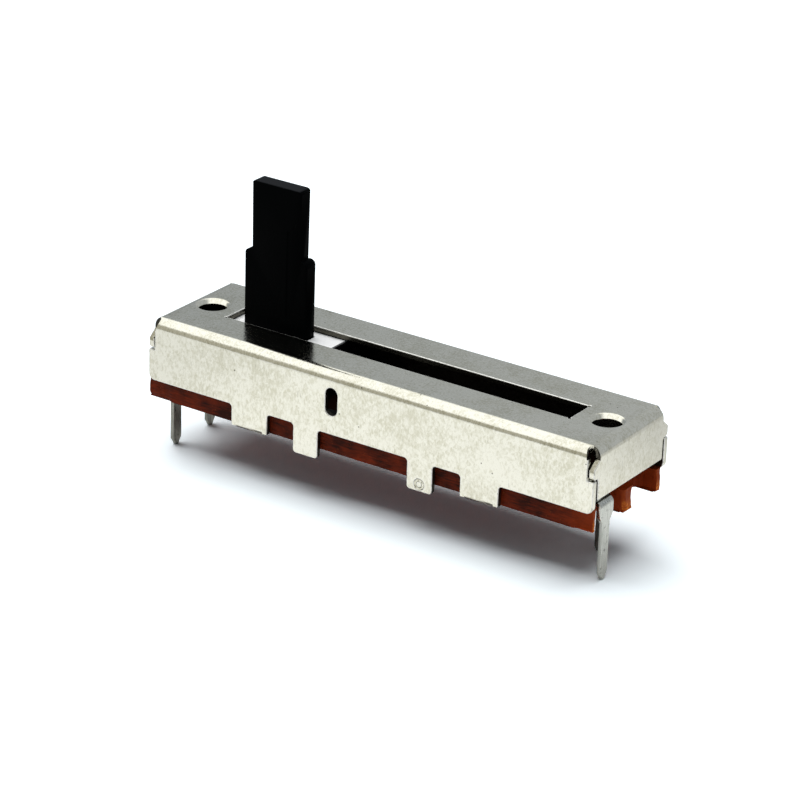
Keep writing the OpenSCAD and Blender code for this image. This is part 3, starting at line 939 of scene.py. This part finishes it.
def ripple(points_mm: np.ndarray, size_mm: float, seed: int, waves: int = 12) -> np.ndarray:
    """Gives a smooth random field: plane sine waves of random direction and phase, summed.

    The sum is scaled to a root mean square of 1.

    Args:
        points_mm: places, one row each.
        size_mm: rough size of the field's features.
        seed: what the waves are drawn from.
        waves: how many are summed.

    Returns:
        One value for each place, seldom beyond -2 or 2.
    """
    draw = np.random.default_rng(seed)
    push = draw.normal(size=(3, waves)) * (math.pi / size_mm / math.sqrt(3))
    phase = draw.uniform(0, 2 * math.pi, waves)
    return np.sin(points_mm @ push + phase).sum(1) * math.sqrt(2 / waves)


def smooth_step(values: np.ndarray, low: float, high: float) -> np.ndarray:
    """Rises from 0 at low to 1 at high as 3t^2 - 2t^3."""
    share = np.clip((values - low) / (high - low), 0, 1)
    return share * share * (3 - 2 * share)


@dataclass
class ReworkedNode:
    """A copy of a CAD node that gets rounded edges and finer forms, and then stands for it."""

    node: str
    body: Body
    slot: Slot
    edge_mm: float
    segments: int = 2
    shortest_mm: float = 0.0
    crowded: Callable[[Vector], bool] | None = None
    rim: Skin = Skin.OUTER

    def merged(self) -> bmesh.types.BMesh:
        """Copies the node's mesh as one closed skin, its flat faces joined.

        Returns:
            The copy, which the caller frees.
        """
        work = bmesh.new()
        work.from_mesh(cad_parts[self.node].data)
        bmesh.ops.remove_doubles(work, verts=work.verts, dist=MERGE_MM * MM)
        if self.shortest_mm:
            bmesh.ops.dissolve_degenerate(work, dist=self.shortest_mm * MM, edges=work.edges)
        bmesh.ops.dissolve_limit(
            work, angle_limit=math.radians(FLAT_DEG), verts=work.verts, edges=work.edges
        )
        return work

    def place(self, work: bmesh.types.BMesh, finishes: tuple[Finish, ...]) -> bpy.types.Object:
        """Makes the object that stands for the node.

        Args:
            work: its mesh, which is freed here.
            finishes: its materials, the first on every face.

        Returns:
            The piece, riding on the node's body.
        """
        mesh = bpy.data.meshes.new(f"{self.node}_finished")
        work.to_mesh(mesh)
        work.free()
        for name in ("custom_normal", "sharp_face", "sharp_edge"):
            if name in mesh.attributes:
                mesh.attributes.remove(mesh.attributes[name])
        mesh.polygons.foreach_set("use_smooth", np.ones(len(mesh.polygons), bool))
        mesh.polygons.foreach_set("material_index", np.zeros(len(mesh.polygons), np.int32))
        for finish in finishes:
            mesh.materials.append(finish.material())
        piece = bpy.data.objects.new(f"{self.node}_finished", mesh)
        bpy.context.scene.collection.objects.link(piece)
        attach(piece, self.body.value)
        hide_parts(self.node)
        LOG.info("%s: %d faces, %s", self.node, len(mesh.polygons), finishes[0].name)
        return piece

    def choose_edges(self, work: bmesh.types.BMesh) -> None:
        """Marks each sharp edge for rounding, apart from crowded corners.

        Args:
            work: the node's mesh.
        """
        weight = work.edges.layers.float.new("bevel_weight_edge")
        for edge in work.edges:
            middle = (edge.verts[0].co + edge.verts[1].co) / (2 * MM)
            sharp = edge.calc_face_angle(0) > math.radians(SHARP_DEG)
            edge[weight] = float(sharp and not (self.crowded and self.crowded(middle)))

    def round_edges(self, piece: bpy.types.Object) -> None:
        """Rounds every marked edge, and keeps broad faces flat in their shading.

        Args:
            piece: the object whose edges are rounded.
        """
        bevel = piece.modifiers.new("rounded_edges", "BEVEL")
        bevel.width = self.edge_mm * MM
        bevel.segments = self.segments
        bevel.limit_method = "WEIGHT"
        bevel.use_clamp_overlap = False
        bevel.loop_slide = False
        bevel.material = self.rim.value
        normals = piece.modifiers.new("flat_faces", "WEIGHTED_NORMAL")
        normals.keep_sharp = False

    def build(self, finishes: tuple[Finish, ...]) -> bpy.types.Object:
        """Copies, dresses and rounds the node.

        Args:
            finishes: its materials, the first on every face.

        Returns:
            The piece.
        """
        work = self.merged()
        self.choose_edges(work)
        piece = self.place(work, finishes)
        self.round_edges(piece)
        return piece

    @staticmethod
    def settle(piece: bpy.types.Object) -> None:
        """Makes the rounded mesh the piece's own, and drops the modifiers.

        Args:
            piece: the object that gets it.
        """
        depsgraph = bpy.context.evaluated_depsgraph_get()
        rounded = bpy.data.meshes.new_from_object(
            piece.evaluated_get(depsgraph), preserve_all_data_layers=True, depsgraph=depsgraph
        )
        piece.modifiers.clear()
        piece.data = rounded


def cut_along(
    work: bmesh.types.BMesh,
    axis: int,
    places_mm: np.ndarray,
    keep: Callable[[Vector], bool] | None = None,
) -> None:
    """Cuts a mesh by planes, which adds edges and changes no surface.

    Args:
        work: the mesh.
        axis: 0, 1 or 2 for planes across X, Y or Z.
        places_mm: where the planes stand.
        keep: tells from a face's centre whether it is cut at all.
    """
    across = Vector((0, 0, 0))
    across[axis] = 1
    for place in places_mm:
        faces = [f for f in work.faces if keep is None or keep(f.calc_center_median())]
        edges = {e for f in faces for e in f.edges}
        corners = {v for f in faces for v in f.verts}
        bmesh.ops.bisect_plane(
            work, geom=[*corners, *edges, *faces], dist=MERGE_MM * MM,
            plane_co=across * float(place) * MM, plane_no=across,
        )


# ---- Sub-assemblies ----


@dataclass
class FoldedCover:
    """The folded tin-plate cover, with its punched edges rolled over."""

    sheet_mm: float = 0.4
    bend_mm: float = 0.76
    height_mm: float = 4.4
    edge_mm: float = 0.06
    corner_mm: Triple = (16.5, 3.7, -0.9)
    clinch_mm: Triple = (7.5, 10.6, -5.5)
    hole_x_mm: float = 15.5
    hole_r_mm: float = 1.0
    drawn_mm: float = 0.24
    wall_lean_deg: float = 50.0
    # What sorts the faces: their distances from skins, folds and bores, and their turns
    skin_mm: float = 0.03
    fold_mm: float = 0.05
    bored_mm: float = 0.1
    probe_mm: float = 0.01
    across_slope: float = 0.3
    end_facing: float = 0.7
    # What picks the normals that are set
    gradient_mm: float = 0.002
    on_skin_mm: float = 0.006
    margin_mm: float = 0.01
    skin_facing: float = 0.85
    least_upward: float = -0.1

    def build(self) -> None:
        """Makes the cover and sorts its faces into outer skin, cut edges and an inside painted dark
        as painted shade.
        """
        rework = ReworkedNode(
            "cover", Body.HOUSING, Slot.COVER, self.edge_mm, segments=3,
            crowded=self.is_crowded, rim=Skin.RIM,
        )
        piece = rework.build((TinPlate(), ShearedSteel(), ShadedInsideTin(), BurnishedRim()))
        rework.settle(piece)
        self.sort_faces(piece.data)
        self.smooth_skin(piece.data)

    def is_crowded(self, place: Vector) -> bool:
        """Tells whether an edge lies at a corner relief or a clinch tab's fold, where rounding
        it would run into its neighbours.

        Args:
            place: the edge's middle in millimetres.

        Returns:
            Whether it stays sharp.
        """
        corner = self.corner_mm
        clinch = self.clinch_mm
        at_corner = abs(place.x) > corner[0] and abs(place.y) > corner[1] and place.z > corner[2]
        at_fold = clinch[0] < abs(place.x) < clinch[1] and place.z < clinch[2]
        return at_corner or at_fold

    def depth(self, points_mm: np.ndarray) -> np.ndarray:
        """Gives the depth below the outer skin, a box open below with round upper edges.

        It is the radius less the distance to the box drawn in by that radius, the usual
        distance to a rounded box with its sign turned.

        Args:
            points_mm: places, one row each.

        Returns:
            The depth of each in millimetres.
        """
        low, high = (np.array(c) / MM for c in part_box("cover"))
        half = (high - low)[:2] / 2 - self.bend_mm
        outside = np.column_stack([
            np.abs(points_mm[:, :2] - (high + low)[:2] / 2) - half,
            points_mm[:, 2] + self.bend_mm,
        ])
        beyond = np.linalg.norm(np.maximum(outside, 0), axis=1)
        return self.bend_mm - beyond - np.minimum(outside.max(1), 0)

    def sort_faces(self, mesh: bpy.types.Mesh) -> None:
        """Gives each face the finish of its surface.

        A face is cut where it lies within the sheet and stands across it, which the slope of
        the depth along its normal tells, and is inner at the depth of the sheet. The punch has
        drawn tin down the walls of both mounting holes, so they count as outer skin.

        Args:
            mesh: the cover's mesh.
        """
        centre = read(mesh.polygons, "center", 3) / MM
        normal = read(mesh.polygons, "normal", 3)
        depth = self.depth(centre)
        slope = (self.depth(centre + self.probe_mm * normal) - depth) / self.probe_mm
        innermost = self.sheet_mm - self.skin_mm
        within = (depth > self.skin_mm) & (depth < innermost)
        folded = (centre[:, 2] < -self.height_mm - self.fold_mm) & (depth > innermost)
        across = within & (np.abs(slope) < self.across_slope)
        cut = across | (folded & (np.abs(normal[:, 0]) > self.end_facing))
        inner = (depth >= innermost) & ~folded & ~cut
        found = read(mesh.polygons, "material_index", kind=np.int32)
        rim = (found == Skin.RIM.value) & (depth < self.sheet_mm / 2)
        to_hole = np.hypot(np.abs(centre[:, 0]) - self.hole_x_mm, centre[:, 1])
        bored = cut & (to_hole < self.hole_r_mm + self.bored_mm)
        index = np.select(
            [bored, rim, cut | folded, inner],
            [Skin.OUTER.value, Skin.RIM.value, Skin.CUT.value, Skin.INNER.value],
            Skin.OUTER.value,
        )
        mesh.polygons.foreach_set("material_index", index.astype(np.int32))

    def smooth_skin(self, mesh: bpy.types.Mesh) -> None:
        """Sets the normals on both skins from the sheet's form, so that bends shade evenly.

        There the normal is the depth's gradient, turned to the face's side. In the mounting
        holes it leans from straight up, at the face, to wall_lean_deg above level, from one
        edge radius down, as on a wall the punch has dished. Elsewhere the normal stays.

        Args:
            mesh: the cover's mesh.
        """
        place = read(mesh.vertices, "co", 3) / MM
        corner = read(mesh.loops, "vertex_index", kind=np.int32)
        normal = read(mesh.corner_normals, "vector", 3)
        sides = read(mesh.polygons, "loop_total", kind=np.int32)
        flat = np.repeat(read(mesh.polygons, "normal", 3), sides, axis=0)
        depth = self.depth(place)
        steps = np.eye(3) * self.gradient_mm
        rise = np.column_stack([self.depth(place + s) - self.depth(place - s) for s in steps])
        outward = (-rise / np.linalg.norm(rise, axis=1)[:, None])[corner]
        facing = (flat * outward).sum(1)
        off_skin = np.minimum(np.abs(depth), np.abs(depth - self.sheet_mm))[corner]
        follows = (off_skin < self.on_skin_mm) & (np.abs(facing) > self.skin_facing)
        normal[follows] = (outward * np.sign(facing)[:, None])[follows]
        radial = place[:, :2] - np.sign(place[:, :1]) * (self.hole_x_mm, 0)
        reach = np.linalg.norm(radial, axis=1)
        lean = np.radians(90 - (90 - self.wall_lean_deg) * np.clip(depth / self.edge_mm, 0, 1))
        dished = np.column_stack([-radial / reach[:, None] * np.cos(lean)[:, None], np.sin(lean)])
        near_hole = reach < self.hole_r_mm + self.drawn_mm + self.margin_mm
        in_sheet = depth < self.sheet_mm + self.margin_mm
        in_hole = (near_hole & in_sheet)[corner] & (flat[:, 2] > self.least_upward)
        normal[in_hole] = dished[corner][in_hole]
        mesh.normals_split_custom_set(normal.tolist())


@dataclass
class TrackBoard:
    """The phenolic board with torn ends, and the tracks and pads printed on it."""

    sharp_deg: float = 40.0
    end_from_mm: float = 15.4
    end_step_mm: float = 0.12
    span_step_mm: float = 0.6
    level_count: int = 7
    side_facing: float = 0.2
    torn_mm: Pair = (15.7, 16.4)
    crumb_mm: float = 0.035
    crumb_between: float = 0.3
    waist_mm: float = 0.11
    waist_varies: float = 0.25
    chip_mm: float = 0.13
    chip_heights: Pair = (0.45, 1.0)
    chip_ripples: Pair = (-0.4, 0.9)
    flare_mm: float = 0.12
    flare_x_mm: Pair = (16.6, 17.1)
    flare_y_mm: Pair = (3.2, 3.5)
    flare_heights: Pair = (-1.0, 0.3)
    flare_facing: float = 0.3
    worn_mm: float = 0.13
    worn_varies: float = 0.3
    worn_below: float = -0.99

    def build(self) -> None:
        """Makes the board, and dresses the layers printed on it."""
        rework = ReworkedNode("element_board", Body.HOUSING, Slot.BOARD, 0.0)
        work = rework.merged()
        low, high = (np.array(c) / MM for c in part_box("element_board"))
        self.cut(work, low, high)
        piece = rework.place(work, (PhenolicPaper(),))
        self.tear(piece.data, low, high)
        piece.data.set_sharp_from_angle(angle=math.radians(self.sharp_deg))
        carbon = Moulding(
            "carbon_ink_screened", light="#1C1C1F", dark="#101012", smoothest=0.43, shine=0.4
        )
        for name in ("resistive_track", "collector_track"):
            dress(name, carbon)
        silver = RolledStrip(
            "silver_ink_screened", light="#CFCFCB", dark="#A9A9A5", stained=0.1, smoothest=0.38,
            grain_mm=(0.05, 0.05, 0.05),
        )
        for row in ("resistive", "collector"):
            for side in ("left", "right"):
                dress(f"{row}_pad_{side}", silver)

    def cut(self, work: bmesh.types.BMesh, low: np.ndarray, high: np.ndarray) -> None:
        """Cuts the board's faces finely at both ends, coarsely between.

        Args:
            work: the board's mesh.
            low: its lowest corner in millimetres.
            high: its highest corner in millimetres.
        """
        ends = np.arange(self.end_from_mm, high[0], self.end_step_mm)
        left = -np.arange(self.end_from_mm, -low[0], self.end_step_mm)
        span = np.arange(-self.end_from_mm, self.end_from_mm, self.span_step_mm)
        levels = np.linspace(low[2], high[2], self.level_count + 2)[1:-1]
        cut_along(work, 0, np.concatenate([left, span, ends]))
        cut_along(work, 2, levels)
        across = np.arange(low[1] + self.end_step_mm, high[1], self.end_step_mm)
        cut_along(work, 1, across, lambda centre: abs(centre.x) > self.end_from_mm * MM)

    def tear(self, mesh: bpy.types.Mesh, low: np.ndarray, high: np.ndarray) -> None:
        """Moves the points of the side faces inwards by waist, crumbs and chips.

        With a height t from -1 at the lower face to 1 at the upper one, the waist is 1 - t^2,
        the crumbs are a ripple, and the chips are a slower ripple near t = -1. The back lobe
        of the right end flares out instead, and the lowest edges of both ends are worn round.

        Args:
            mesh: the board's mesh.
            low: its lowest corner in millimetres.
            high: its highest corner in millimetres.
        """
        place = read(mesh.vertices, "co", 3) / MM
        normal = read(mesh.vertex_normals, "vector", 3)
        length = np.linalg.norm(normal[:, :2], axis=1)
        on_side = length > self.side_facing
        outward = normal[:, :2] / np.maximum(length, 1e-6)[:, None] * on_side[:, None]
        height = 2 * (place[:, 2] - low[2]) / (high[2] - low[2]) - 1
        at_end = smooth_step(np.abs(place[:, 0]), *self.torn_mm)
        crumbs = (1 + ripple(place, size_mm=0.35, seed=3)) / 2 * self.crumb_mm
        crumbs *= self.crumb_between + (1 - self.crumb_between) * at_end
        bulge = 1 - self.waist_varies * (1 - ripple(place, size_mm=1.4, seed=5))
        waist = self.waist_mm * (1 - height**2) * bulge
        broken = smooth_step(ripple(place, size_mm=0.9, seed=11), *self.chip_ripples)
        chips = self.chip_mm * smooth_step(-height, *self.chip_heights) * broken
        inward = crumbs + (waist + chips) * at_end
        flare = self.flare_mm * smooth_step(place[:, 0], *self.flare_x_mm)
        flare *= smooth_step(place[:, 1], *self.flare_y_mm)
        flare *= smooth_step(-height, *self.flare_heights)
        place[:, :2] -= outward * inward[:, None]
        place[:, 0] += flare * (outward[:, 0] > self.flare_facing)
        worn = self.worn_mm * (1 - self.worn_varies * (1 - ripple(place, size_mm=0.6, seed=7)))
        place[:, 2] += worn * at_end * ((height < self.worn_below) & on_side)
        place = np.clip(place, low, high)
        mesh.vertices.foreach_set("co", (place * MM).ravel())
        mesh.update()


@dataclass
class TerminalSet:
    """Four pressed terminals and the eyelets that clamp them to the board."""

    count: int = 4
    edge_mm: float = 0.04

    def build(self) -> None:
        """Makes the terminals, and dresses the eyelets."""
        # lit and shaded copies of one tinned brass: the end terminal is painted lighter as painted
        # light, the others darker as painted shade
        lit_terminal = RolledStrip("tinned_brass_painted_lit", light="#DFE2DC", dark="#B6BAB2")
        shaded_terminal = RolledStrip("tinned_brass_painted_shade", light="#A6A8A0", dark="#7C7E76")
        rolled = RolledStrip("tinned_brass_rolled", stained=0.2, grain_mm=(0.06, 0.06, 0.06))
        for i in range(1, self.count + 1):
            name = f"terminal_{i}"
            finish = lit_terminal if i == self.count else shaded_terminal
            ReworkedNode(name, Body.HOUSING, Slot.TERMINAL, self.edge_mm).build((finish,))
            dress(f"eyelet_{i}", rolled)


@dataclass
class SlideLever:
    """The black moulded lever."""

    edge_mm: float = 0.05
    shortest_mm: float = 0.02

    def build(self) -> None:
        """Makes the lever."""
        rework = ReworkedNode(
            "lever", Body.SLIDER, Slot.LEVER, self.edge_mm, segments=3,
            shortest_mm=self.shortest_mm,
        )
        rework.build((LeverMoulding(),))


@dataclass
class CarriageSet:
    """The carriage under the cover, with its wiper and drag spring."""

    grain_mm: Triple = (0.9, 0.05, 0.05)

    def build(self) -> None:
        """Dresses the three pieces."""
        bronze = RolledStrip(
            "phosphor_bronze_rolled", light="#C08A55", dark="#9C6A3C", stain="#5C3A20",
            stained=0.3, grain_mm=self.grain_mm,
        )
        steel = RolledStrip(
            "spring_steel_rolled", light="#B8BABD", dark="#8F9194", stained=0.2,
            grain_mm=self.grain_mm,
        )
        dress("carriage", ShadedFlankMoulding())
        dress("wiper", bronze)
        dress("drag_spring", steel)


def dress(node: str, finish: Finish) -> None:
    """Gives a carried-over CAD node its finish.

    Args:
        node: the node's name.
        finish: what it is made of.
    """
    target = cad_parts[node]
    target.data.materials.clear()
    target.data.materials.append(finish.material())
    LOG.info("%s: %s", node, finish.name)


def main() -> None:
    """Builds the studio on the floor under the CAD parts, and every sub-assembly."""
    logging.basicConfig(level=logging.INFO, format="%(message)s")
    cad_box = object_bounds()
    Studio().build(cad_box[0][2])
    for assembly in (FoldedCover(), TrackBoard(), TerminalSet(), SlideLever(), CarriageSet()):
        assembly.build()


if __name__ == "__main__":
    main()
